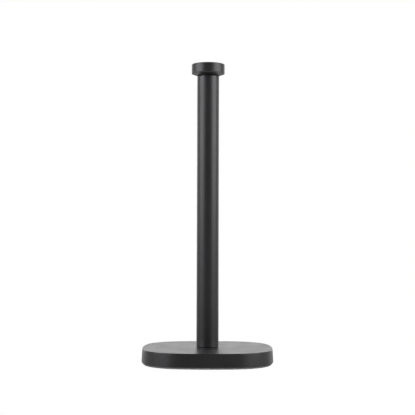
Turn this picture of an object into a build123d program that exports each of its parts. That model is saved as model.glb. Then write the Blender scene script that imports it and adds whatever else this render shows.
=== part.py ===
"""Free-standing paper towel holder: a weighted rounded-square base, a round post and a screw-on finial.

Frame: +Z up, origin on the surface it stands on, on the post's axis. Millimetres.
"""

import os
from math import atan2, cos, sin, sqrt

from build123d import *

# Driving dimensions: outside
HEIGHT = 321.0
BASE_HALF = 70.5  # half of the base's width at its lower edge
BASE_TOP = 16.0
SIDE_ARC = 170.0  # radius of the four shallow sides
CORNER_ARC = 45.0  # radius of the four corners
DRAFT = 3.0  # degrees by which the base's side leans in
POST_R = 11.9
KNOB_R = 17.9
KNOB_T = 10.3  # at the rim
KNOB_DROP = 2.0  # by which the underside slopes down from the rim to the post
KNOB_NECK_R = 12.1  # where that slope ends

# Driving dimensions: base, from the table upwards
FOOT_DROP = 1.0  # how far the feet stand out below the rim
PLATE_RECESS = 1.0
PLATE_T = 1.2
LINER_T = 0.8
WEIGHT_T = 8.5
TOP_WALL = 2.6
SIDE_WALL = 3.6
LEDGE = 1.6  # width of the step that the bottom plate seats against
PLATE_GAP = 0.2
WEIGHT_GAP = 1.4
TOP_EDGE = 0.8
LOWER_EDGE = 1.3

RIM_Z = FOOT_DROP
PLATE_Z = RIM_Z + PLATE_RECESS
LINER_Z = PLATE_Z + PLATE_T
WEIGHT_Z = LINER_Z + LINER_T
WEIGHT_TOP = WEIGHT_Z + WEIGHT_T
CAVITY_TOP = BASE_TOP - TOP_WALL

# Centre joint between base and post: an M6 button head screw with its two washers
HUB_R = 13.0
HUB_Z = 10.0  # lower face of the hub, where the flat washer bears
HUB_CLEARANCE = 1.0
BOLT_R = 3.0
BOLT_LENGTH = 25.0
BOLT_HOLE_R = 3.3
BOLT_HEAD_R = 5.25
BOLT_HEAD_T = 3.3
BOLT_HEX_R = 2.31
BOLT_HEX_DEPTH = 2.0
WASHER_R = 9.0
WASHER_T = 1.6
SPRING_R = 5.6
SPRING_T = 1.6
SPRING_SLIT = 0.9
SPIGOT_R = 7.0
SPIGOT_DEPTH = 2.0
SPIGOT_CLEARANCE = 0.1
ACCESS_R = 6.5  # hole in the bottom plate for the hex key
WASHER_Z = HUB_Z - WASHER_T
SPRING_Z = WASHER_Z - SPRING_T
HEAD_Z = SPRING_Z - BOLT_HEAD_T

# Fixings: both sets lie on the base's two centre lines, the feet on its diagonals
WEIGHT_SCREW_PCR = 34.0
WEIGHT_BOSS_R = 4.5
WEIGHT_BOSS_Z = 8.5
WEIGHT_SCREW_R = 2.0
WEIGHT_HEAD_R = 3.9
WEIGHT_HEAD_T = 2.6
WEIGHT_SCREW_LENGTH = 6.5
PLATE_SCREW_PCR = 57.0
PLATE_BOSS_R = 4.0
PLATE_SCREW_R = 1.5
PLATE_HEAD_R = 2.9
PLATE_SCREW_LENGTH = 8.0
FOOT_PCR = 60.0
FOOT_R = 8.0
FOOT_NECK_R = 2.5
FOOT_BARB_R = 3.4
FOOT_BARB_T = 1.2
FOOT_TIP_T = 0.9
FOOT_POCKET_R = 4.5
FOOT_POCKET_T = 2.4
THREAD_GAP = 0.05  # radial clearance of each screw in its tapped hole
FIT_GAP = 0.5  # clearance of the weight round the bosses

# Post and finial
TUBE_WALL = 1.6
TUBE_TOP_EDGE = 1.1
TUBE_LOWER_EDGE = 0.5
GASKET_T = 0.5
GASKET_INSET = 0.5
SEAL_T = 0.5  # washer under the finial
SEAL_R = 11.0
SEAL_BORE_R = 4.4
PLUG_T = 18.0
STUD_R = 4.0
STUD_BELOW = 13.0  # stud length below the finial
STUD_ABOVE = 6.0  # stud length set into the finial
KNOB_TOP_EDGE = 1.2
KNOB_LOWER_EDGE = 0.8
PLUG_R = POST_R - TUBE_WALL
TUBE_Z = BASE_TOP + GASKET_T
KNOB_RIM_Z = HEIGHT - KNOB_T
KNOB_Z = KNOB_RIM_Z - KNOB_DROP
TUBE_TOP = KNOB_Z - SEAL_T

BOTTOM = (Align.CENTER, Align.CENTER, Align.MIN)
TOP = (Align.CENTER, Align.CENTER, Align.MAX)


def rounded_square(inset=0.0):
    """Adds the base's outline to the open sketch: four side arcs, each tangent to two corner arcs."""
    half = BASE_HALF - inset
    side = SIDE_ARC - inset
    corner = CORNER_ARC - inset
    back = side - half  # from the base's centre back to a side arc's centre
    centre = (sqrt(2 * (side - corner) ** 2 - back**2) - back) / 2  # corner arc's centre, x and y alike
    joint_angle = atan2(centre + back, centre)
    joint = Vector(side * cos(joint_angle), side * sin(joint_angle) - back)
    far_joint = Vector(-joint.X, joint.Y)
    diagonal = centre + corner / sqrt(2)
    with BuildLine() as outline:
        for turn in range(0, 360, 90):
            corner_points = (Vector(joint.Y, joint.X), Vector(diagonal, diagonal), joint)
            side_points = (joint, Vector(0, half), far_joint)
            ThreePointArc(*(point.rotate(Axis.Z, turn) for point in corner_points))
            ThreePointArc(*(point.rotate(Axis.Z, turn) for point in side_points))
    make_face(outline.edges())


# Base cover: die-cast shell with a central hub, four short bosses for the weight and four tall ones
with BuildPart() as base_cover:
    with BuildSketch(Plane.XY.offset(RIM_Z)):
        rounded_square()
    extrude(amount=BASE_TOP - RIM_Z, taper=DRAFT)
    fillet(base_cover.faces().sort_by(Axis.Z)[-1].edges(), TOP_EDGE)
    fillet(base_cover.faces().sort_by(Axis.Z)[0].edges(), LOWER_EDGE)
    with BuildSketch(Plane.XY.offset(RIM_Z)):
        rounded_square(SIDE_WALL)
    extrude(amount=CAVITY_TOP - RIM_Z, mode=Mode.SUBTRACT)
    with BuildSketch(Plane.XY.offset(RIM_Z)):
        rounded_square(SIDE_WALL - LEDGE)
    extrude(amount=LINER_Z - RIM_Z, mode=Mode.SUBTRACT)
    with Locations((0, 0, HUB_Z)):
        Cylinder(HUB_R, CAVITY_TOP - HUB_Z, align=BOTTOM)
    with PolarLocations(WEIGHT_SCREW_PCR, 4), Locations((0, 0, WEIGHT_BOSS_Z)):
        Cylinder(WEIGHT_BOSS_R, CAVITY_TOP - WEIGHT_BOSS_Z, align=BOTTOM)
        Cylinder(WEIGHT_SCREW_R + THREAD_GAP, WEIGHT_SCREW_LENGTH, align=BOTTOM, mode=Mode.SUBTRACT)
    with PolarLocations(PLATE_SCREW_PCR, 4), Locations((0, 0, LINER_Z)):
        Cylinder(PLATE_BOSS_R, CAVITY_TOP - LINER_Z, align=BOTTOM)
        Cylinder(PLATE_SCREW_R + THREAD_GAP, PLATE_SCREW_LENGTH, align=BOTTOM, mode=Mode.SUBTRACT)
    with Locations((0, 0, BASE_TOP)):
        CounterBoreHole(BOLT_HOLE_R, SPIGOT_R + SPIGOT_CLEARANCE, SPIGOT_DEPTH + SPIGOT_CLEARANCE)
base_cover.part.label = "base_cover"

# Base weight: cast iron slab that carries the stability, screwed up against the four short bosses
with BuildPart() as base_weight:
    with BuildSketch(Plane.XY.offset(WEIGHT_Z)):
        rounded_square(SIDE_WALL + WEIGHT_GAP)
    extrude(amount=WEIGHT_T)
    chamfer(base_weight.edges().group_by(Axis.Z)[-1], 0.8)
    with Locations((0, 0, WEIGHT_Z)):
        Cylinder(HUB_R + HUB_CLEARANCE, WEIGHT_T, align=BOTTOM, mode=Mode.SUBTRACT)
    with PolarLocations(WEIGHT_SCREW_PCR, 4):
        with Locations((0, 0, WEIGHT_BOSS_Z)):
            Cylinder(WEIGHT_BOSS_R + FIT_GAP, WEIGHT_T, align=BOTTOM, mode=Mode.SUBTRACT)
        with Locations((0, 0, WEIGHT_Z)):
            Cylinder(WEIGHT_HEAD_R + FIT_GAP, WEIGHT_HEAD_T + FIT_GAP, align=BOTTOM, mode=Mode.SUBTRACT)
            Cylinder(WEIGHT_SCREW_R + FIT_GAP, WEIGHT_T, align=BOTTOM, mode=Mode.SUBTRACT)
    with BuildSketch(Plane.XY.offset(WEIGHT_Z)):
        with PolarLocations(PLATE_SCREW_PCR + PLATE_BOSS_R, 4):
            SlotCenterToCenter(2 * PLATE_BOSS_R, 2 * (PLATE_BOSS_R + FIT_GAP))
    extrude(amount=WEIGHT_T, mode=Mode.SUBTRACT)
    with PolarLocations(FOOT_PCR, 4, start_angle=45), Locations((0, 0, WEIGHT_Z)):
        Cylinder(FOOT_POCKET_R, FOOT_POCKET_T, align=BOTTOM, mode=Mode.SUBTRACT)
base_weight.part.label = "base_weight"

# Weight screws: four pan heads that sit in the slab's counterbores
with BuildPart() as weight_screws:
    head_z = WEIGHT_Z + FIT_GAP
    with PolarLocations(WEIGHT_SCREW_PCR, 4), Locations((0, 0, head_z)):
        Cylinder(WEIGHT_HEAD_R, WEIGHT_HEAD_T, align=BOTTOM)
    fillet(weight_screws.edges().group_by(Axis.Z)[0], 0.8)
    with PolarLocations(WEIGHT_SCREW_PCR, 4), Locations((0, 0, head_z)):
        Cylinder(WEIGHT_SCREW_R, WEIGHT_HEAD_T + WEIGHT_SCREW_LENGTH, align=BOTTOM)
    with BuildSketch(Plane.XY.offset(head_z)):
        with PolarLocations(WEIGHT_SCREW_PCR, 4):
            Rectangle(4.2, 0.8)
            Rectangle(0.8, 4.2)
    extrude(amount=1.5, mode=Mode.SUBTRACT)
weight_screws.part.label = "weight_screws"

# Foam liner: thin sheet that stops the weight rattling on the bottom plate
with BuildPart() as foam_liner:
    with BuildSketch(Plane.XY.offset(LINER_Z)):
        rounded_square(SIDE_WALL + WEIGHT_GAP)
        Circle(HUB_R, mode=Mode.SUBTRACT)
        with PolarLocations(PLATE_SCREW_PCR + PLATE_BOSS_R, 4):
            SlotCenterToCenter(2 * PLATE_BOSS_R, 2 * (PLATE_BOSS_R + FIT_GAP), mode=Mode.SUBTRACT)
        with PolarLocations(FOOT_PCR, 4, start_angle=45):
            Circle(FOOT_POCKET_R, mode=Mode.SUBTRACT)
    extrude(amount=LINER_T)
foam_liner.part.label = "foam_liner"

# Base plate: sheet-steel bottom with countersunk screw holes, push-in holes for the feet and a key hole
with BuildPart() as base_plate:
    with BuildSketch(Plane.XY.offset(PLATE_Z)):
        rounded_square(SIDE_WALL - LEDGE + PLATE_GAP)
        Circle(ACCESS_R, mode=Mode.SUBTRACT)
        with PolarLocations(FOOT_PCR, 4, start_angle=45):
            Circle(FOOT_NECK_R, mode=Mode.SUBTRACT)
    extrude(amount=PLATE_T)
    hole_r = PLATE_SCREW_R + THREAD_GAP
    with PolarLocations(PLATE_SCREW_PCR, 4), Locations((0, 0, PLATE_Z)):
        Cylinder(hole_r, PLATE_T, align=BOTTOM, mode=Mode.SUBTRACT)
        Cone(PLATE_HEAD_R + THREAD_GAP, hole_r, PLATE_T, align=BOTTOM, mode=Mode.SUBTRACT)
base_plate.part.label = "base_plate"

# Plate screws: four countersunk screws, flush with the plate
with BuildPart() as plate_screws:
    with PolarLocations(PLATE_SCREW_PCR, 4), Locations((0, 0, PLATE_Z)):
        Cone(PLATE_HEAD_R, PLATE_SCREW_R, PLATE_T, align=BOTTOM)
        Cylinder(PLATE_SCREW_R, PLATE_SCREW_LENGTH, align=BOTTOM)
    with BuildSketch(Plane.XY.offset(PLATE_Z)):
        with PolarLocations(PLATE_SCREW_PCR, 4):
            Rectangle(3.2, 0.6)
            Rectangle(0.6, 3.2)
    extrude(amount=0.9, mode=Mode.SUBTRACT)
plate_screws.part.label = "plate_screws"

# Flat washer and split spring washer under the hub
with BuildPart() as flat_washer:
    with BuildSketch(Plane.XY.offset(WASHER_Z)):
        Circle(WASHER_R)
        Circle(BOLT_HOLE_R, mode=Mode.SUBTRACT)
    extrude(amount=WASHER_T)
    chamfer(flat_washer.edges().group_by(Axis.Z)[0].sort_by(SortBy.LENGTH)[-1], 0.25)
flat_washer.part.label = "flat_washer"

with BuildPart() as spring_washer:
    with BuildSketch(Plane.XY.offset(SPRING_Z)):
        Circle(SPRING_R)
        Circle(BOLT_HOLE_R, mode=Mode.SUBTRACT)
        with Locations((SPRING_R, 0)):
            Rectangle(SPRING_R, SPRING_SLIT, rotation=30, mode=Mode.SUBTRACT)
    extrude(amount=SPRING_T)
spring_washer.part.label = "spring_washer"

# Post bolt: button head with a hex socket, driven from below up into the lower plug
with BuildPart() as post_bolt:
    with Locations((0, 0, HEAD_Z)):
        Cylinder(BOLT_HEAD_R, BOLT_HEAD_T, align=BOTTOM)
    fillet(post_bolt.edges().group_by(Axis.Z)[0], 2.0)
    with Locations((0, 0, SPRING_Z)):
        Cylinder(BOLT_R, BOLT_LENGTH, align=BOTTOM)
    chamfer(post_bolt.edges().group_by(Axis.Z)[-1], 0.6)
    with BuildSketch(Plane.XY.offset(HEAD_Z)):
        RegularPolygon(BOLT_HEX_R, 6)
    extrude(amount=BOLT_HEX_DEPTH, mode=Mode.SUBTRACT)
post_bolt.part.label = "post_bolt"

# Post gasket: thin ring that keeps the tube's end off the cover's coating
with BuildPart() as post_gasket:
    with BuildSketch(Plane.XY.offset(BASE_TOP)):
        Circle(POST_R - GASKET_INSET)
        Circle(SPIGOT_R + SPIGOT_CLEARANCE, mode=Mode.SUBTRACT)
    extrude(amount=GASKET_T)
post_gasket.part.label = "post_gasket"

# Lower plug: pressed into the tube, its spigot centres the post in the cover
with BuildPart() as lower_plug:
    with Locations((0, 0, TUBE_Z)):
        Cylinder(PLUG_R, PLUG_T, align=BOTTOM)
    chamfer(lower_plug.edges().group_by(Axis.Z)[-1], 0.8)
    with Locations((0, 0, TUBE_Z)):
        Cylinder(SPIGOT_R, GASKET_T + SPIGOT_DEPTH, align=TOP)
    with Locations((0, 0, TUBE_Z)):
        Hole(BOLT_R + THREAD_GAP)
lower_plug.part.label = "lower_plug"

# Post tube
with BuildPart() as post_tube:
    with BuildSketch(Plane.XY.offset(TUBE_Z)):
        Circle(POST_R)
        Circle(PLUG_R, mode=Mode.SUBTRACT)
    extrude(amount=TUBE_TOP - TUBE_Z)
    fillet(post_tube.edges().group_by(Axis.Z)[-1].sort_by(SortBy.LENGTH)[-1], TUBE_TOP_EDGE)
    fillet(post_tube.edges().group_by(Axis.Z)[0].sort_by(SortBy.LENGTH)[-1], TUBE_LOWER_EDGE)
post_tube.part.label = "post_tube"

# Upper plug: tapped for the finial's stud
with BuildPart() as upper_plug:
    with Locations((0, 0, TUBE_TOP)):
        Cylinder(PLUG_R, PLUG_T, align=TOP)
    chamfer(upper_plug.edges().group_by(Axis.Z)[0], 0.8)
    with Locations((0, 0, TUBE_TOP)):
        Hole(STUD_R + THREAD_GAP)
upper_plug.part.label = "upper_plug"

# Finial washer: rides between the tube's end and the finial
with BuildPart() as finial_washer:
    with BuildSketch(Plane.XY.offset(TUBE_TOP)):
        Circle(SEAL_R)
        Circle(SEAL_BORE_R, mode=Mode.SUBTRACT)
    extrude(amount=SEAL_T)
finial_washer.part.label = "finial_washer"

# Finial knob: solid casting with a sloping underside and a blind tapped hole
with BuildPart() as finial_knob:
    with BuildSketch(Plane.XZ) as profile:
        with BuildLine():
            Polyline(
                (0, KNOB_Z),
                (KNOB_NECK_R, KNOB_Z),
                (KNOB_R, KNOB_RIM_Z),
                (KNOB_R, HEIGHT),
                (0, HEIGHT),
                close=True,
            )
        make_face()
        rim = profile.vertices().group_by(Axis.X)[-1].sort_by(Axis.Z)
        fillet(rim[-1], KNOB_TOP_EDGE)
        fillet(rim[0], KNOB_LOWER_EDGE)
    revolve(axis=Axis.Z)
    with Locations((0, 0, KNOB_Z)):
        Cylinder(STUD_R, STUD_ABOVE, align=BOTTOM, mode=Mode.SUBTRACT)
finial_knob.part.label = "finial_knob"

# Finial stud: fixed in the knob, screws into the upper plug
with BuildPart() as finial_stud:
    with Locations((0, 0, KNOB_Z - STUD_BELOW)):
        Cylinder(STUD_R, STUD_BELOW + STUD_ABOVE, align=BOTTOM)
    chamfer(finial_stud.edges().group_by(Axis.Z)[0], 0.8)
finial_stud.part.label = "finial_stud"

# Feet: four push-in rubber feet, one on each corner of the plate
FOOT_NAMES = ("foot_back_right", "foot_back_left", "foot_front_left", "foot_front_right")
feet = []
for quarter, foot_name in enumerate(FOOT_NAMES):
    with BuildPart() as foot:
        with PolarLocations(FOOT_PCR, 1, start_angle=45 + 90 * quarter):
            Cylinder(FOOT_R, PLATE_Z, align=BOTTOM)
        fillet(foot.edges().group_by(Axis.Z)[0], 0.6)
        with PolarLocations(FOOT_PCR, 1, start_angle=45 + 90 * quarter):
            Cylinder(FOOT_NECK_R, LINER_Z, align=BOTTOM)
            with Locations((0, 0, LINER_Z)):
                Cylinder(FOOT_BARB_R, FOOT_BARB_T, align=BOTTOM)
            with Locations((0, 0, LINER_Z + FOOT_BARB_T)):
                Cone(FOOT_BARB_R, FOOT_NECK_R, FOOT_TIP_T, align=BOTTOM)
    foot.part.label = foot_name
    feet.append(foot)

os.makedirs("parts", exist_ok=True)
BUILT = (
    base_cover, base_weight, weight_screws, foam_liner, base_plate, plate_screws, flat_washer,
    spring_washer, post_bolt, post_gasket, lower_plug, post_tube, upper_plug, finial_washer,
    finial_knob, finial_stud, *feet,
)
for built in BUILT:
    export_step(built.part, f"parts/{built.part.label}.step")
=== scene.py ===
from math import atan2, ceil, cos, pi, radians, sin, sqrt, tan

import bmesh
import bpy
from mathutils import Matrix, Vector


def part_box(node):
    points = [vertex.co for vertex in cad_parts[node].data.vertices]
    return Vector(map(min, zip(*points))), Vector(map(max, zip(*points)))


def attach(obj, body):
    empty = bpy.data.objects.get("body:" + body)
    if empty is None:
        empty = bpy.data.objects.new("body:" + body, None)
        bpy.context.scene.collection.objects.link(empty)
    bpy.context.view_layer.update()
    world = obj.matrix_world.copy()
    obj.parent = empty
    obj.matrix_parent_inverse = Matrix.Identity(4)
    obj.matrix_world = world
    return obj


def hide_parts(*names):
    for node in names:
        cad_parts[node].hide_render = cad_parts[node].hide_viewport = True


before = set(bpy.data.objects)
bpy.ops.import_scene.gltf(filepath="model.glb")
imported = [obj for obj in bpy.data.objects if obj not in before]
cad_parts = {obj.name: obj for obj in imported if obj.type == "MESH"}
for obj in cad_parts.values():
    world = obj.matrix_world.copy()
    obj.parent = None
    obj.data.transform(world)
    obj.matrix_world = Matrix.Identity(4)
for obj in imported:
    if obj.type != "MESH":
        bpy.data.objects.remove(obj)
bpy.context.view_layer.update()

MM = 0.001

# ---------------------------------------------------------------- sizes, in millimetres

# What the CAD boxes give
COVER_LOW, COVER_HIGH = (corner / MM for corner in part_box("base_cover"))
TUBE_LOW, TUBE_HIGH = (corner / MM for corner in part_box("post_tube"))
KNOB_LOW, KNOB_HIGH = (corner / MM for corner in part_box("finial_knob"))
STUD_LOW, STUD_HIGH = (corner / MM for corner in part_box("finial_stud"))
SEAL_LOW, SEAL_HIGH = (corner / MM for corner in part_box("finial_washer"))
GASKET_LOW, GASKET_HIGH = (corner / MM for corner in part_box("post_gasket"))
PLATE_LOW, PLATE_HIGH = (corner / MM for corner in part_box("base_plate"))
BOLT_LOW, BOLT_HIGH = (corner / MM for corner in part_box("post_bolt"))
FLAT_LOW, FLAT_HIGH = (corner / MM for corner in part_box("flat_washer"))
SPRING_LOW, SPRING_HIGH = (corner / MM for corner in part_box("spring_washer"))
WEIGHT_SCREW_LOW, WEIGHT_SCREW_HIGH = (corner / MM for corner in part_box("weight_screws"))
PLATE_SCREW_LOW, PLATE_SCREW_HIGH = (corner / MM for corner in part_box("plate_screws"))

# The base's outline and walls, as in the CAD model, with the outline a hair smaller
BASE_HALF = 70.48
SIDE_ARC = 170.0
CORNER_ARC = 45.0
DRAFT = 3.0
TOP_EDGE = 0.8
LOWER_EDGE = 1.3
SIDE_WALL = 3.6
TOP_WALL = 2.6
LEDGE = 1.6
PLATE_GAP = 0.2
CEILING_Z = COVER_HIGH.z - TOP_WALL
TOP_FACE_INSET = 12.0  # where the top face's outline gives way to circles round the post
TOP_FACE_R = 34.0  # the first of those circles
PLATE_RIM = 3.0  # width of the plate's flat rim strip

# Centre joint
HUB_R = 13.0
HUB_Z = FLAT_HIGH.z
BOLT_R = 3.0
BOLT_HOLE_R = 3.3
BOLT_PITCH = 1.0
BOLT_HEX_R = 2.31
BOLT_HEX_DEPTH = 2.0
BOLT_HEX_CONE = 0.5  # drill point beyond the socket's end
BOLT_HEX_LAND = 0.55  # flat round the socket's mouth
BOLT_HEAD_EDGE = 2.0
BOLT_NECK_R = 2.8
BOLT_NECK_LENGTH = 2.0
BOLT_THREAD_START = 1.2  # above the head
SPIGOT_BORE_R = 7.1
SPIGOT_BORE_DEPTH = 2.1
ACCESS_R = 6.5

# Fixings
WEIGHT_SCREW_PCR = 34.0
WEIGHT_BOSS_R = 4.5
WEIGHT_BOSS_Z = 8.5
WEIGHT_SCREW_R = 2.0
WEIGHT_HEAD_R = 3.9
WEIGHT_HEAD_T = 2.6
WEIGHT_HEAD_FLAT_R = 2.5
WEIGHT_HEAD_EDGE = 0.9
WEIGHT_PITCH = 0.7
WEIGHT_HOLE_DEPTH = 6.5
WEIGHT_RECESS = (4.2, 0.8, 1.5)  # size, width and depth of the cross
PLATE_SCREW_PCR = 57.0
PLATE_BOSS_R = 4.0
PLATE_SCREW_R = 1.5
PLATE_HEAD_R = 2.9
PLATE_HEAD_FLAT_R = 2.5
PLATE_NECK_R = 1.1
PLATE_PITCH = 0.5
PLATE_HOLE_DEPTH = 8.0
PLATE_RECESS = (3.2, 0.62, 0.9)
FOOT_PCR = 60.0
FOOT_R = 8.0
FOOT_NECK_R = 2.5
FOOT_BARB_R = 3.4
FOOT_BARB_T = 1.2
FOOT_TIP_T = 0.9
FOOT_DISH_R = 3.6
FOOT_DISH_DEPTH = 0.45
FOOT_DISH_SLOPE = 0.7
FOOT_DRAFT = 0.15
THREAD_GAP = 0.05

# Post and finial
TUBE_BORE_R = 10.3
TUBE_TOP_EDGE = 1.1
TUBE_LOWER_EDGE = 0.5
STUD_R = 4.0
STUD_PITCH = 1.25
SEAL_BORE_R = 4.4
KNOB_DROP = 2.0
KNOB_NECK_R = 12.1
KNOB_TOP_EDGE = 1.2
KNOB_LOWER_EDGE = 0.8

# Thread form
THREAD_DEPTH = 0.61  # times the pitch
THREAD_END = 1.15  # times the depth, how far a rod's ends are drawn in
THREAD_ROOT = 0.14  # share of half a pitch that lies flat at the root
THREAD_FLANK = 0.72  # share of half a pitch from root to crest

# Cross recess, the end's share of the mouth's size and width
RECESS_END_SIZE = 0.5
RECESS_END_WIDTH = 0.8

# Floor, out to what looks like the horizon
FLOOR_R = 9000.0


# ---------------------------------------------------------------- mesh helpers

CREASE = radians(34.0)  # faces that meet at more than this keep a sharp edge between them
POINTS_PER_ARC = 20


def rounded(points, radii, steps=8, hold=0.12):
    """A polyline with its corners rounded, and a holding point on each flat beside every rounding."""
    result = []
    last = len(points) - 1
    for i, (point, radius) in enumerate(zip(points, radii)):
        here = Vector(point)
        if radius <= 0 or i in (0, last):
            result.append(here)
            continue
        before = Vector(points[i - 1]) - here
        after = Vector(points[i + 1]) - here
        room_before, room_after = before.length, after.length
        before.normalize()
        after.normalize()
        half = before.angle(after) / 2
        reach = radius / tan(half)
        centre = here + (before + after).normalized() * (radius / sin(half))
        start = here + before * reach
        end = here + after * reach
        if room_before > reach + 2 * hold:
            result.append(start + before * hold)
        sweep = pi - 2 * half
        from_centre = start - centre
        turn = 1 if from_centre.x * (end - centre).y - from_centre.y * (end - centre).x > 0 else -1
        for step in range(steps + 1):
            angle = turn * sweep * step / steps
            result.append(centre + Vector((
                from_centre.x * cos(angle) - from_centre.y * sin(angle),
                from_centre.x * sin(angle) + from_centre.y * cos(angle),
            )))
        if room_after > reach + 2 * hold:
            result.append(end + after * hold)
    return result


def ring(bm, points):
    """Vertices for a closed loop of points given in millimetres."""
    return [bm.verts.new(Vector(point) * MM) for point in points]


def bridge(bm, first, second):
    """Quads between two rings of the same length, or triangles where one of them is a single vertex."""
    count = max(len(first), len(second))
    for i in range(count):
        j = (i + 1) % count
        corners = []
        for loop, index in ((first, i), (first, j), (second, j), (second, i)):
            vertex = loop[index % len(loop)]
            if vertex not in corners:
                corners.append(vertex)
        bm.faces.new(corners)


def circle(radius, z, centre=(0.0, 0.0), segments=96):
    """Points evenly spaced on a level circle."""
    angles = [2 * pi * i / segments for i in range(segments)]
    return [(centre[0] + radius * cos(angle), centre[1] + radius * sin(angle), z) for angle in angles]


def lathe(bm, profile, centre=(0.0, 0.0), segments=96, closed=False):
    """Turns a profile of (radius, height) about a vertical line."""
    rings = []
    for radius, z in profile:
        if radius < 1e-6:
            rings.append(ring(bm, [(centre[0], centre[1], z)]))
        else:
            rings.append(ring(bm, circle(radius, z, centre, segments)))
    pairs = list(zip(rings, rings[1:]))
    if closed:
        pairs.append((rings[-1], rings[0]))
    for first, second in pairs:
        bridge(bm, first, second)
    return rings


def fill_flat(bm, *loops):
    """A flat face with holes between closed rings that lie in one horizontal plane."""
    edges = []
    for loop in loops:
        for i, vertex in enumerate(loop):
            pair = (vertex, loop[(i + 1) % len(loop)])
            edges.append(bm.edges.get(pair) or bm.edges.new(pair))
    bmesh.ops.triangle_fill(bm, edges=edges, use_beauty=True, use_dissolve=False)


def outline(inset, z):
    """The base's outline, moved in by inset: four shallow side arcs, each tangent to two corner arcs."""
    half = BASE_HALF - inset
    side = SIDE_ARC - inset
    corner = CORNER_ARC - inset
    back = side - half
    centre = (sqrt(2 * (side - corner) ** 2 - back ** 2) - back) / 2
    joint_angle = atan2(centre + back, centre)
    points = []
    for quarter in range(4):
        turn = quarter * pi / 2
        arcs = (
            (centre, centre, corner, pi / 2 - joint_angle, joint_angle),
            (0.0, -back, side, joint_angle, pi - joint_angle),
        )
        for x, y, radius, start, end in arcs:
            for step in range(POINTS_PER_ARC):
                angle = start + (end - start) * step / POINTS_PER_ARC
                px = x + radius * cos(angle)
                py = y + radius * sin(angle)
                points.append((px * cos(turn) - py * sin(turn), px * sin(turn) + py * cos(turn), z))
    return points


def spokes(radius, start=0.0):
    """Four places on a circle round the post's axis, a quarter turn apart."""
    return [
        (radius * cos(radians(start + 90 * i)), radius * sin(radians(start + 90 * i))) for i in range(4)
    ]


def thread(bm, radius, pitch, low, high, centre=(0.0, 0.0), segments=40, rows=10):
    """A threaded rod between two heights. Its rows of vertices follow the helix, and both ends taper."""
    depth = THREAD_DEPTH * pitch
    end_radius = radius - THREAD_END * depth
    slope = radius - end_radius
    total = int(ceil((high - low) / pitch + 2)) * rows
    grid = []
    for i in range(segments + 1):
        angle = 2 * pi * i / segments
        column = []
        for row in range(total + 1):
            phase = row / rows % 1.0
            crest = abs(phase - 0.5) * 2
            flank = min(max((crest - THREAD_ROOT) / THREAD_FLANK, 0.0), 1.0)
            r = radius - depth * (1 - flank)
            z = low + (row / rows + i / segments - 1.5) * pitch
            z = min(max(z, low), high)
            taper = min(z - low, high - z) / slope
            r = min(r, end_radius + slope * min(taper, 1.0))
            x = (centre[0] + r * cos(angle)) * MM
            y = (centre[1] + r * sin(angle)) * MM
            column.append(bm.verts.new((x, y, z * MM)))
        grid.append(column)
    made = [vertex for column in grid for vertex in column]
    faces = []
    for left, right in zip(grid, grid[1:]):
        for row in range(total):
            faces.append(bm.faces.new((left[row], right[row], right[row + 1], left[row + 1])))
    bmesh.ops.remove_doubles(bm, verts=made, dist=1e-7)
    made = [vertex for vertex in made if vertex.is_valid]
    for level in (low, high):
        rim = [v for v in made if v.is_valid and abs(v.co.z - level * MM) < 1e-7]
        rim.sort(key=lambda v: atan2(v.co.y / MM - centre[1], v.co.x / MM - centre[0]))
        hub = bm.verts.new((centre[0] * MM, centre[1] * MM, level * MM))
        for i, vertex in enumerate(rim):
            bm.faces.new((vertex, rim[(i + 1) % len(rim)], hub))


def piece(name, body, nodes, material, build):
    """Builds one closed mesh, gives it its material, and puts it on its body in place of its CAD nodes."""
    bm = bmesh.new()
    build(bm)
    bmesh.ops.dissolve_degenerate(bm, edges=bm.edges, dist=1e-8)
    bmesh.ops.recalc_face_normals(bm, faces=bm.faces)
    mesh = bpy.data.meshes.new(name)
    bm.to_mesh(mesh)
    bm.free()
    mesh.shade_smooth()
    mesh.set_sharp_from_angle(angle=CREASE)
    mesh.materials.append(material)
    obj = bpy.data.objects.new(name, mesh)
    bpy.context.scene.collection.objects.link(obj)
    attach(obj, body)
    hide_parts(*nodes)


# ---------------------------------------------------------------- materials

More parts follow.
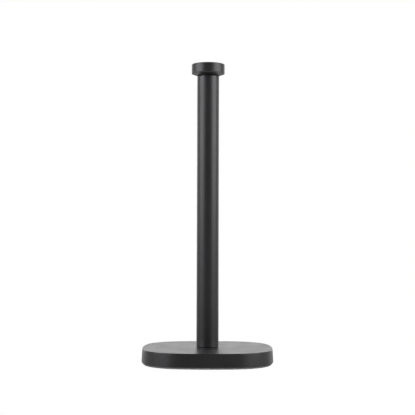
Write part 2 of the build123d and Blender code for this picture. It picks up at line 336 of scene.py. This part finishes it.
class Graph:
    """A material's node tree, with short calls for the few nodes used here."""

    def __init__(self, name):
        self.material = bpy.data.materials.new(name)
        self.material.use_nodes = True
        self.nodes = self.material.node_tree.nodes
        self.links = self.material.node_tree.links
        self.shader = self.nodes["Principled BSDF"]
        self.place = self.nodes.new("ShaderNodeTexCoord").outputs["Object"]

    def set(self, **values):
        for key, value in values.items():
            self.shader.inputs[key.replace("_", " ")].default_value = value

    def noise(self, scale, detail, rough=0.5):
        node = self.nodes.new("ShaderNodeTexNoise")
        node.inputs["Scale"].default_value = scale
        node.inputs["Detail"].default_value = detail
        node.inputs["Roughness"].default_value = rough
        self.links.new(self.place, node.inputs["Vector"])
        return node.outputs["Fac"]

    def cells(self, scale):
        node = self.nodes.new("ShaderNodeTexVoronoi")
        node.feature = "SMOOTH_F1"
        node.inputs["Scale"].default_value = scale
        node.inputs["Smoothness"].default_value = 1.0
        self.links.new(self.place, node.inputs["Vector"])
        return node.outputs["Distance"]

    def rings(self, scale):
        node = self.nodes.new("ShaderNodeTexWave")
        node.wave_type = "RINGS"
        node.rings_direction = "Z"
        node.inputs["Scale"].default_value = scale
        node.inputs["Distortion"].default_value = 1.5
        node.inputs["Detail"].default_value = 2.0
        self.links.new(self.place, node.inputs["Vector"])
        return node.outputs["Fac"]

    def spread(self, source, low, high, source_low=0.3, source_high=0.7):
        node = self.nodes.new("ShaderNodeMapRange")
        node.inputs["From Min"].default_value = source_low
        node.inputs["From Max"].default_value = source_high
        node.inputs["To Min"].default_value = low
        node.inputs["To Max"].default_value = high
        self.links.new(source, node.inputs["Value"])
        return node.outputs["Result"]

    def colours(self, source, low, high, source_low=0.3, source_high=0.7):
        node = self.nodes.new("ShaderNodeValToRGB")
        node.color_ramp.elements[0].position = source_low
        node.color_ramp.elements[1].position = source_high
        node.color_ramp.elements[0].color = (*low, 1.0)
        node.color_ramp.elements[1].color = (*high, 1.0)
        self.links.new(source, node.inputs["Fac"])
        return node.outputs["Color"]

    def bump(self, height, distance, strength, over=None):
        node = self.nodes.new("ShaderNodeBump")
        node.inputs["Distance"].default_value = distance
        node.inputs["Strength"].default_value = strength
        self.links.new(height, node.inputs["Height"])
        if over is not None:
            self.links.new(over, node.inputs["Normal"])
        return node.outputs["Normal"]

    def feed(self, output, socket):
        self.links.new(output, self.shader.inputs[socket])


def coating_material():
    """Satin black powder coat: fine orange peel, faint drift in tone and gloss."""
    graph = Graph("satin_black_coating")
    graph.set(Metallic=0.0, IOR=1.5)
    drift = graph.noise(14.0, 3.0)
    grain = graph.noise(1800.0, 2.0)
    graph.feed(graph.colours(drift, (0.0150, 0.0147, 0.0150), (0.0190, 0.0187, 0.0192)), "Base Color")
    graph.feed(graph.spread(graph.noise(55.0, 4.0), 0.36, 0.41), "Roughness")
    peel = graph.bump(graph.cells(620.0), 0.00004, 0.25)
    graph.feed(graph.bump(grain, 0.00001, 0.35, over=peel), "Normal")
    return graph.material


def plate_material():
    """Matt black paint on sheet steel."""
    graph = Graph("plate_paint")
    graph.set(Metallic=0.0, IOR=1.5)
    cloud = graph.noise(25.0, 4.0)
    graph.feed(graph.colours(cloud, (0.016, 0.016, 0.017), (0.024, 0.024, 0.025)), "Base Color")
    graph.feed(graph.spread(graph.noise(90.0, 4.0), 0.46, 0.58), "Roughness")
    graph.feed(graph.bump(graph.noise(1300.0, 3.0), 0.00003, 0.5), "Normal")
    return graph.material


def zinc_material():
    """Bright zinc plate, a little cloudy."""
    graph = Graph("zinc_plated_steel")
    graph.set(Metallic=1.0)
    cloud = graph.noise(260.0, 4.0)
    graph.feed(graph.colours(cloud, (0.46, 0.46, 0.45), (0.62, 0.62, 0.60)), "Base Color")
    graph.feed(graph.spread(graph.noise(420.0, 3.0), 0.24, 0.40), "Roughness")
    graph.feed(graph.bump(graph.noise(2600.0, 2.0), 0.000008, 0.5), "Normal")
    return graph.material


def turned_material():
    """Turned steel with fine tool rings."""
    graph = Graph("turned_steel")
    graph.set(Metallic=1.0)
    cloud = graph.noise(120.0, 3.0)
    graph.feed(graph.colours(cloud, (0.40, 0.40, 0.40), (0.52, 0.52, 0.52)), "Base Color")
    tool = graph.rings(900.0)
    graph.feed(graph.spread(tool, 0.26, 0.40, 0.0, 1.0), "Roughness")
    graph.feed(graph.bump(tool, 0.00001, 0.6), "Normal")
    return graph.material


def iron_material():
    """Grey iron casting with a sandy skin."""
    graph = Graph("cast_iron")
    graph.set(Metallic=0.7)
    cloud = graph.noise(70.0, 6.0)
    graph.feed(graph.colours(cloud, (0.055, 0.052, 0.050), (0.12, 0.115, 0.11)), "Base Color")
    graph.feed(graph.spread(graph.noise(210.0, 4.0), 0.58, 0.78), "Roughness")
    sand = graph.bump(graph.noise(900.0, 5.0, 0.65), 0.00018, 0.8)
    graph.feed(graph.bump(graph.cells(380.0), 0.0001, 0.4, over=sand), "Normal")
    return graph.material


def rubber_material():
    """Moulded black rubber with a matt bloom."""
    graph = Graph("black_rubber")
    graph.set(Metallic=0.0, IOR=1.52)
    cloud = graph.noise(180.0, 5.0)
    graph.feed(graph.colours(cloud, (0.011, 0.011, 0.0115), (0.022, 0.022, 0.023)), "Base Color")
    graph.feed(graph.spread(graph.noise(320.0, 3.0), 0.62, 0.78), "Roughness")
    graph.feed(graph.bump(graph.noise(1500.0, 3.0), 0.00003, 0.6), "Normal")
    return graph.material


def nylon_material():
    """Black nylon washer stock."""
    graph = Graph("black_nylon")
    graph.set(Metallic=0.0, IOR=1.53)
    cloud = graph.noise(200.0, 3.0)
    graph.feed(graph.colours(cloud, (0.008, 0.008, 0.0085), (0.013, 0.013, 0.0135)), "Base Color")
    graph.feed(graph.spread(graph.noise(500.0, 3.0), 0.48, 0.60), "Roughness")
    graph.feed(graph.bump(graph.noise(2200.0, 2.0), 0.00001, 0.6), "Normal")
    return graph.material


def foam_material():
    """Closed-cell foam sheet."""
    graph = Graph("closed_cell_foam")
    graph.set(Metallic=0.0, IOR=1.4)
    cells = graph.cells(900.0)
    graph.feed(graph.colours(cells, (0.016, 0.016, 0.017), (0.036, 0.036, 0.038), 0.1, 0.8), "Base Color")
    graph.feed(graph.spread(graph.noise(150.0, 3.0), 0.80, 0.95), "Roughness")
    graph.feed(graph.bump(cells, 0.00025, 0.7), "Normal")
    return graph.material


COATING = coating_material()
PLATE_PAINT = plate_material()
ZINC = zinc_material()
TURNED = turned_material()
IRON = iron_material()
RUBBER = rubber_material()
NYLON = nylon_material()
FOAM = foam_material()


# ---------------------------------------------------------------- base

def blind_hole(bm, rim, radius, end_z, centre, segments):
    """Walls of a hole from a face's rim to its flat end."""
    top = ring(bm, circle(radius, end_z, centre, segments))
    bridge(bm, rim, top)
    cap = bm.verts.new((centre[0] * MM, centre[1] * MM, end_z * MM))
    bridge(bm, top, [cap])


def cover(bm):
    """Cast shell: outer skin, rim, ledge for the plate, ceiling with its bosses, and the bolt hole."""
    low, high = COVER_LOW.z, COVER_HIGH.z
    top_inset = (high - low) * tan(radians(DRAFT))
    rim_inset = SIDE_WALL - LEDGE
    ledge_z = PLATE_HIGH.z
    skin = rounded(
        [(rim_inset, ledge_z), (rim_inset, low), (0.0, low), (top_inset, high), (TOP_FACE_INSET, high)],
        [0.0, 0.15, LOWER_EDGE, TOP_EDGE, 0.0], steps=8)
    rings = [ring(bm, outline(inset, z)) for inset, z in skin]
    angles = [atan2(v.co.y, v.co.x) for v in rings[-1]]
    shoulder = high - SPIGOT_BORE_DEPTH
    bore = rounded(
        [(TOP_FACE_R, high), (SPIGOT_BORE_R, high), (SPIGOT_BORE_R, shoulder), (BOLT_HOLE_R, shoulder),
         (BOLT_HOLE_R, HUB_Z)],
        [0.0, 0.2, 0.0, 0.2, 0.0], steps=3, hold=0.05)
    blends = [ring(bm, [(radius * cos(a), radius * sin(a), z) for a in angles]) for radius, z in bore]
    stack = rings + blends
    for first, second in zip(stack, stack[1:]):
        bridge(bm, first, second)
    # Inside: ledge, cavity wall, ceiling
    ledge_outer = rings[0]
    ledge_inner = ring(bm, outline(SIDE_WALL, ledge_z))
    bridge(bm, ledge_inner, ledge_outer)
    inner = rounded(
        [(SIDE_WALL, ledge_z), (SIDE_WALL, CEILING_Z), (BASE_HALF, CEILING_Z)], [0.0, 0.5, 0.0], steps=4)
    wall = [ledge_inner] + [ring(bm, outline(inset, z)) for inset, z in inner[1:-1]]
    for first, second in zip(wall, wall[1:]):
        bridge(bm, first, second)
    # Hub
    hub_top = ring(bm, [(HUB_R * cos(a), HUB_R * sin(a), CEILING_Z) for a in angles])
    hub_low = ring(bm, [(HUB_R * cos(a), HUB_R * sin(a), HUB_Z) for a in angles])
    bridge(bm, hub_top, hub_low)
    bridge(bm, hub_low, blends[-1])
    holes = [hub_top]
    # Bosses
    bosses = [
        (place, WEIGHT_BOSS_R, WEIGHT_BOSS_Z, WEIGHT_SCREW_R + THREAD_GAP, WEIGHT_HOLE_DEPTH, 32)
        for place in spokes(WEIGHT_SCREW_PCR)
    ] + [
        (place, PLATE_BOSS_R, ledge_z, PLATE_SCREW_R + THREAD_GAP, PLATE_HOLE_DEPTH, 28)
        for place in spokes(PLATE_SCREW_PCR)
    ]
    for place, boss_r, boss_z, hole_r, hole_depth, segments in bosses:
        root = ring(bm, circle(boss_r, CEILING_Z, place, segments))
        end = ring(bm, circle(boss_r, boss_z, place, segments))
        mouth = ring(bm, circle(hole_r, boss_z, place, segments))
        bridge(bm, root, end)
        bridge(bm, end, mouth)
        blind_hole(bm, mouth, hole_r, boss_z + hole_depth, place, segments)
        holes.append(root)
    fill_flat(bm, wall[-1], *holes)


def plate(bm):
    """Pressed sheet-steel bottom with a softened edge, countersinks, foot holes and the key hole."""
    low, high = PLATE_LOW.z, PLATE_HIGH.z
    inset = SIDE_WALL - LEDGE + PLATE_GAP
    strip = inset + PLATE_RIM
    edge = rounded(
        [(strip, low), (inset, low), (inset, high), (strip, high)], [0.0, 0.35, 0.2, 0.0], steps=4)
    rings = [ring(bm, outline(offset, z)) for offset, z in edge]
    for first, second in zip(rings, rings[1:]):
        bridge(bm, first, second)
    head_r, shank_r = PLATE_HEAD_R + THREAD_GAP, PLATE_SCREW_R + THREAD_GAP
    holes = [((0.0, 0.0), ACCESS_R, ACCESS_R, 64)]
    holes += [(place, FOOT_NECK_R, FOOT_NECK_R, 32) for place in spokes(FOOT_PCR, 45)]
    holes += [(place, head_r, shank_r, 32) for place in spokes(PLATE_SCREW_PCR)]
    low_loops, high_loops = [rings[0]], [rings[-1]]
    for place, low_r, high_r, segments in holes:
        below = ring(bm, circle(low_r, low, place, segments))
        above = ring(bm, circle(high_r, high, place, segments))
        bridge(bm, below, above)
        low_loops.append(below)
        high_loops.append(above)
    fill_flat(bm, *low_loops)
    fill_flat(bm, *high_loops)


def cross(size, width, z, centre, turn):
    """The twelve corners of a cross-shaped recess."""
    w = width / 2
    s = size / 2
    corners = [
        (s, -w), (s, w), (w, w), (w, s), (-w, s), (-w, w),
        (-s, w), (-s, -w), (-w, -w), (-w, -s), (w, -s), (w, -w),
    ]
    return [
        (centre[0] + x * cos(turn) - y * sin(turn), centre[1] + x * sin(turn) + y * cos(turn), z)
        for x, y in corners
    ]


def recess(bm, rim, shape, low, centre, turn):
    """A cross recess that narrows inwards, cut up into a flat face with the given outer rim."""
    size, width, depth = shape
    mouth = ring(bm, cross(size, width, low, centre, turn))
    bed = ring(bm, cross(size * RECESS_END_SIZE, width * RECESS_END_WIDTH, low + depth, centre, turn))
    bridge(bm, mouth, bed)
    fill_flat(bm, rim, mouth)
    fill_flat(bm, bed)


def plate_screw_set(bm):
    """Four countersunk screws with cross recesses."""
    low, high = PLATE_SCREW_LOW.z, PLATE_SCREW_HIGH.z
    top = PLATE_HIGH.z
    for i, place in enumerate(spokes(PLATE_SCREW_PCR)):
        head = rounded(
            [(PLATE_HEAD_FLAT_R, low), (PLATE_HEAD_R, low), (PLATE_NECK_R, top), (0.0, top)],
            [0.0, 0.12, 0.0, 0.0], steps=3)
        rings = lathe(bm, head, place, 40)
        turn = radians(17 + 31 * i)
        recess(bm, rings[0], PLATE_RECESS, low, place, turn)
        thread(bm, PLATE_SCREW_R, PLATE_PITCH, top, high, place, segments=24, rows=6)


def weight_screw_set(bm):
    """Four pan-head screws with cross recesses."""
    low, high = WEIGHT_SCREW_LOW.z, WEIGHT_SCREW_HIGH.z
    top = low + WEIGHT_HEAD_T
    for i, place in enumerate(spokes(WEIGHT_SCREW_PCR)):
        head = rounded(
            [(WEIGHT_HEAD_FLAT_R, low), (WEIGHT_HEAD_R, low), (WEIGHT_HEAD_R, top), (0.0, top)],
            [0.0, WEIGHT_HEAD_EDGE, 0.12, 0.0], steps=6)
        rings = lathe(bm, head, place, 48)
        turn = radians(8 + 40 * i)
        recess(bm, rings[0], WEIGHT_RECESS, low, place, turn)
        thread(bm, WEIGHT_SCREW_R, WEIGHT_PITCH, top, high, place, segments=28, rows=8)


def bolt(bm):
    """Button-head bolt with a hex socket and a rolled thread."""
    low, high = BOLT_LOW.z, BOLT_HIGH.z
    head_r = BOLT_HIGH.x
    shoulder = SPRING_LOW.z
    neck_end = shoulder + BOLT_NECK_LENGTH
    socket_end = low + BOLT_HEX_DEPTH
    head = rounded(
        [(BOLT_HEX_R + BOLT_HEX_LAND, low), (head_r, low), (head_r, shoulder), (BOLT_NECK_R, shoulder)],
        [0.0, BOLT_HEAD_EDGE, 0.1, 0.0], steps=10)
    neck = rounded(
        [(BOLT_NECK_R, shoulder), (BOLT_NECK_R, neck_end), (0.0, neck_end)], [0.0, 0.2, 0.0], steps=3)
    rings = lathe(bm, head + neck[1:], segments=72)
    hexagon = [(BOLT_HEX_R * cos(pi / 3 * i), BOLT_HEX_R * sin(pi / 3 * i)) for i in range(6)]
    mouth = ring(bm, [(x, y, low) for x, y in hexagon])
    bed = ring(bm, [(x, y, socket_end) for x, y in hexagon])
    bridge(bm, mouth, bed)
    fill_flat(bm, rings[0], mouth)
    hub = bm.verts.new((0.0, 0.0, (socket_end + BOLT_HEX_CONE) * MM))
    bridge(bm, bed, [hub])
    thread(bm, BOLT_R, BOLT_PITCH, shoulder + BOLT_THREAD_START, high, segments=36, rows=8)


def flat_washer(bm):
    """Stamped washer, its lower outer edge the rounder one. The profile starts and ends in the bore."""
    r = FLAT_HIGH.x
    low, high = FLAT_LOW.z, FLAT_HIGH.z
    lathe(bm, rounded(
        [(BOLT_HOLE_R, high - 0.8), (BOLT_HOLE_R, low), (r, low), (r, high), (BOLT_HOLE_R, high),
         (BOLT_HOLE_R, high - 0.79)],
        [0.0, 0.12, 0.3, 0.15, 0.12, 0.0], steps=4, hold=0.05), segments=96, closed=True)


def spring_washer(bm):
    """Split washer: a rounded square section swept round all but its slit, with slanted ends."""
    inner, outer = BOLT_HOLE_R, SPRING_HIGH.y
    low, high = SPRING_LOW.z, SPRING_HIGH.z
    start = (inner, (low + high) / 2)
    section = rounded(
        [start, (inner, low), (outer, low), (outer, high), (inner, high), start],
        [0.0, 0.18, 0.18, 0.18, 0.18, 0.0], steps=3, hold=0.04)[:-1]
    steps = 88
    slit_start, slit_width, slant = radians(30), radians(9.5), radians(8.0)
    rings = []
    for i in range(steps + 1):
        part = i / steps
        points = []
        for r, z in section:
            lean = slant * ((z - low) / (high - low) - 0.5)
            angle = slit_start + slit_width / 2 + (2 * pi - slit_width) * part
            ease = abs(2 * part - 1) ** 3
            angle += lean * ease
            points.append((r * cos(angle), r * sin(angle), z))
        rings.append(ring(bm, points))
    for first, second in zip(rings, rings[1:]):
        bridge(bm, first, second)
    for end in (rings[0], rings[-1]):
        bm.faces.new(end)


def foot(place):
    """Push-in rubber foot: a disc with a rounded edge and a shallow dished sole, a neck and a barb."""
    def build(bm):
        rim = PLATE_LOW.z
        top = PLATE_HIGH.z
        barb = top + FOOT_BARB_T
        tip = barb + FOOT_TIP_T
        profile = rounded(
            [(0.0, FOOT_DISH_DEPTH), (FOOT_DISH_R, FOOT_DISH_DEPTH), (FOOT_DISH_R + FOOT_DISH_SLOPE, 0.0),
             (FOOT_R, 0.0), (FOOT_R - FOOT_DRAFT, rim), (FOOT_NECK_R, rim), (FOOT_NECK_R, top),
             (FOOT_BARB_R, top), (FOOT_BARB_R, barb), (FOOT_NECK_R, tip), (0.0, tip)],
            [0.0, 0.3, 0.25, 0.6, 0.15, 0.0, 0.0, 0.15, 0.3, 0.3, 0.0], steps=5, hold=0.06)
        lathe(bm, profile, place, 72)
    return build


# ---------------------------------------------------------------- post and finial

def gasket(bm):
    """Thin ring under the post."""
    r = GASKET_HIGH.x
    low, high = GASKET_LOW.z, GASKET_HIGH.z
    middle = (low + high) / 2
    lathe(bm, rounded(
        [(SPIGOT_BORE_R, middle), (SPIGOT_BORE_R, low), (r, low), (r, high), (SPIGOT_BORE_R, high),
         (SPIGOT_BORE_R, middle + 0.01)],
        [0.0, 0.1, 0.2, 0.2, 0.1, 0.0], steps=4, hold=0.03), segments=128, closed=True)


def tube(bm):
    """The post, open at both ends."""
    r = TUBE_HIGH.x
    low, high = TUBE_LOW.z, TUBE_HIGH.z
    middle = (low + high) / 2
    lathe(bm, rounded(
        [(TUBE_BORE_R, middle), (TUBE_BORE_R, low), (r, low), (r, high), (TUBE_BORE_R, high),
         (TUBE_BORE_R, middle + 0.1)],
        [0.0, 0.15, TUBE_LOWER_EDGE, TUBE_TOP_EDGE, 0.15, 0.0], steps=7), segments=160, closed=True)


def seal(bm):
    """Washer between post and finial."""
    r = SEAL_HIGH.x
    low, high = SEAL_LOW.z, SEAL_HIGH.z
    middle = (low + high) / 2
    lathe(bm, rounded(
        [(SEAL_BORE_R, middle), (SEAL_BORE_R, low), (r, low), (r, high), (SEAL_BORE_R, high),
         (SEAL_BORE_R, middle + 0.01)],
        [0.0, 0.12, 0.2, 0.2, 0.12, 0.0], steps=4, hold=0.04), segments=128, closed=True)


def knob(bm):
    """Finial disc with a sloping underside and a blind socket for its stud."""
    r = KNOB_HIGH.x
    low, high = KNOB_LOW.z, KNOB_HIGH.z
    socket_top = STUD_HIGH.z
    lathe(bm, rounded(
        [(0.0, socket_top), (STUD_R, socket_top), (STUD_R, low), (KNOB_NECK_R, low), (r, low + KNOB_DROP),
         (r, high), (0.0, high)],
        [0.0, 0.0, 0.25, 0.3, KNOB_LOWER_EDGE, KNOB_TOP_EDGE, 0.0], steps=10), segments=192)


def stud(bm):
    """Threaded rod, fixed in the finial and screwed into the post's upper plug."""
    thread(bm, STUD_R, STUD_PITCH, STUD_LOW.z, STUD_HIGH.z, segments=64, rows=14)


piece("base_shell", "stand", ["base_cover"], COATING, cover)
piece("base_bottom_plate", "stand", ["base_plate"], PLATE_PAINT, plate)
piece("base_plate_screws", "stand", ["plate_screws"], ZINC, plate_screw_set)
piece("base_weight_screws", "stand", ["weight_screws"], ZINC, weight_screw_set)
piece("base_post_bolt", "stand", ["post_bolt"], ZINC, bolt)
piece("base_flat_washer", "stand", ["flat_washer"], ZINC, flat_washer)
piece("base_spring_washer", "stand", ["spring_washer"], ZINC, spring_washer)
CORNERS = ("back_right", "back_left", "front_left", "front_right")
for corner_name, foot_place in zip(CORNERS, spokes(FOOT_PCR, 45)):
    node = "foot_" + corner_name
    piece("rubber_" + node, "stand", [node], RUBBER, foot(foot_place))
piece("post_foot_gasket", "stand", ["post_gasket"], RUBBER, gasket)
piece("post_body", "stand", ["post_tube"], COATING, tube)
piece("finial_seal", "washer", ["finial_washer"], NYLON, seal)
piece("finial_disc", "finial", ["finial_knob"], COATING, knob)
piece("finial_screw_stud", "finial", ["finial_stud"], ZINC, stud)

# CAD nodes that are shown as they are, in a finer material
for node_name, material in (
    ("base_weight", IRON), ("foam_liner", FOAM), ("lower_plug", TURNED), ("upper_plug", TURNED),
):
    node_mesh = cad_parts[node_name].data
    node_mesh.materials.clear()
    node_mesh.materials.append(material)


# ---------------------------------------------------------------- floor, light and camera

def floor_material():
    """Plain white glow with a painted contact shadow only where the object stands right over it, and clear
    when seen from below.
    """
    material = bpy.data.materials.new("pale_floor")
    material.use_nodes = True
    nodes, links = material.node_tree.nodes, material.node_tree.links
    nodes.clear()
    # Painted contact shadow: ambient occlusion dims the floor's glow under the object
    shade = nodes.new("ShaderNodeAmbientOcclusion")
    shade.inputs["Distance"].default_value = 0.005
    shade.samples = 16
    clear = nodes.new("ShaderNodeMapRange")
    clear.inputs["From Min"].default_value = 0.17
    clear.inputs["From Max"].default_value = 0.24
    links.new(shade.outputs["AO"], clear.inputs["Value"])
    glow = nodes.new("ShaderNodeEmission")
    links.new(clear.outputs["Result"], glow.inputs["Strength"])
    side = nodes.new("ShaderNodeMixShader")
    links.new(nodes.new("ShaderNodeNewGeometry").outputs["Backfacing"], side.inputs["Fac"])
    links.new(glow.outputs["Emission"], side.inputs[1])
    links.new(nodes.new("ShaderNodeBsdfTransparent").outputs["BSDF"], side.inputs[2])
    out = nodes.new("ShaderNodeOutputMaterial")
    links.new(side.outputs["Shader"], out.inputs["Surface"])
    return material


def floor():
    """A wide disc under the feet that takes no part in lighting or reflections."""
    bm = bmesh.new()
    bm.faces.new(ring(bm, circle(FLOOR_R, 0.0, segments=64)))
    mesh = bpy.data.meshes.new("studio_floor")
    bm.to_mesh(mesh)
    bm.free()
    mesh.materials.append(floor_material())
    obj = bpy.data.objects.new("studio_floor", mesh)
    obj.visible_glossy = False
    obj.visible_diffuse = False
    bpy.context.scene.collection.objects.link(obj)


def area_light(name, place, target, width, height, power, colour):
    """A rectangular light turned to its target and left out of the camera's view."""
    data = bpy.data.lights.new(name, "AREA")
    data.shape = "RECTANGLE"
    data.size = width
    data.size_y = height
    data.energy = power
    data.color = colour
    obj = bpy.data.objects.new(name, data)
    obj.location = place
    obj.rotation_euler = (Vector(target) - Vector(place)).to_track_quat("-Z", "Y").to_euler()
    obj.visible_camera = False
    bpy.context.scene.collection.objects.link(obj)


def studio():
    """White to the camera. To light and reflections it is bright behind, dim in front and lit from below."""
    world = bpy.data.worlds.new("studio")
    bpy.context.scene.world = world
    world.use_nodes = True
    nodes, links = world.node_tree.nodes, world.node_tree.links
    nodes.clear()
    direction = nodes.new("ShaderNodeTexCoord").outputs["Generated"]
    split = nodes.new("ShaderNodeSeparateXYZ")
    links.new(direction, split.inputs["Vector"])

    def ramp(output, stops):
        """Grey level by one component of the direction."""
        spread = nodes.new("ShaderNodeMapRange")
        spread.inputs["From Min"].default_value = -1.0
        links.new(output, spread.inputs["Value"])
        node = nodes.new("ShaderNodeValToRGB")
        node.color_ramp.interpolation = "EASE"
        while len(node.color_ramp.elements) < len(stops):
            node.color_ramp.elements.new(0.5)
        for element, (position, level) in zip(node.color_ramp.elements, stops):
            element.position = (position + 1) / 2
            element.color = (level, level, level, 1.0)
        links.new(spread.outputs["Result"], node.inputs["Fac"])
        return node.outputs["Color"]

    def combine(kind, first, second):
        """Two colours multiplied or added."""
        node = nodes.new("ShaderNodeMix")
        node.data_type = "RGBA"
        node.blend_type = kind
        node.inputs["Factor"].default_value = 1.0
        links.new(first, node.inputs["A"])
        links.new(second, node.inputs["B"])
        return node.outputs["Result"]

    depth = ramp(split.outputs["Y"], ((-1.0, 0.02), (-0.3, 0.04), (0.25, 0.39), (0.6, 0.54), (0.97, 1.50)))
    height = ramp(split.outputs["Z"], ((-0.12, 0.0), (0.02, 1.0), (0.1, 1.0), (0.3, 0.35), (1.0, 0.12)))
    ground = ramp(split.outputs["Z"], ((-1.0, 1.0), (-0.6, 0.75), (-0.3, 0.24), (-0.08, 0.08), (0.04, 0.0)))
    lit = nodes.new("ShaderNodeBackground")
    lit.inputs["Strength"].default_value = 1.6
    links.new(combine("ADD", combine("MULTIPLY", depth, height), ground), lit.inputs["Color"])
    seen = nodes.new("ShaderNodeBackground")
    seen.inputs["Color"].default_value = (1.0, 1.0, 1.0, 1.0)
    seen.inputs["Strength"].default_value = 1.0
    path = nodes.new("ShaderNodeLightPath")
    mix = nodes.new("ShaderNodeMixShader")
    links.new(path.outputs["Is Camera Ray"], mix.inputs["Fac"])
    links.new(lit.outputs["Background"], mix.inputs[1])
    links.new(seen.outputs["Background"], mix.inputs[2])
    out = nodes.new("ShaderNodeOutputWorld")
    links.new(mix.outputs["Shader"], out.inputs["Surface"])


def lights():
    """Two softboxes in front of the object, one on each side."""
    distance, level = 1.5, 0.88
    width, height = 1.5, 1.4
    target = (0.0, 0.0, 0.30)
    for name, azimuth, power, colour in (
        ("softbox_left", -67, 30.0, (0.98, 0.97, 1.02)),
        ("softbox_right", 67.5, 31.0, (0.99, 0.98, 1.01)),
    ):
        angle = radians(azimuth)
        place = (distance * sin(angle), -distance * cos(angle), level)
        area_light(name, place, target, width, height, power, colour)


def camera():
    """View from the front, from below the object's middle, turned slightly up, with a trace of roll."""
    tilt, roll = radians(90 + 1.745), radians(-0.165)
    data = bpy.data.cameras.new("camera")
    data.sensor_width = 36.0
    data.lens = 92.52
    data.clip_start = 0.01
    data.clip_end = 50.0
    obj = bpy.data.objects.new("camera", data)
    obj.location = (-0.00026, -1.150, 0.1310)
    obj.rotation_euler = (tilt, roll, 0.0)
    bpy.context.scene.collection.objects.link(obj)
    bpy.context.scene.camera = obj


floor()
studio()
lights()
camera()
bpy.context.scene.view_settings.view_transform = "Standard"
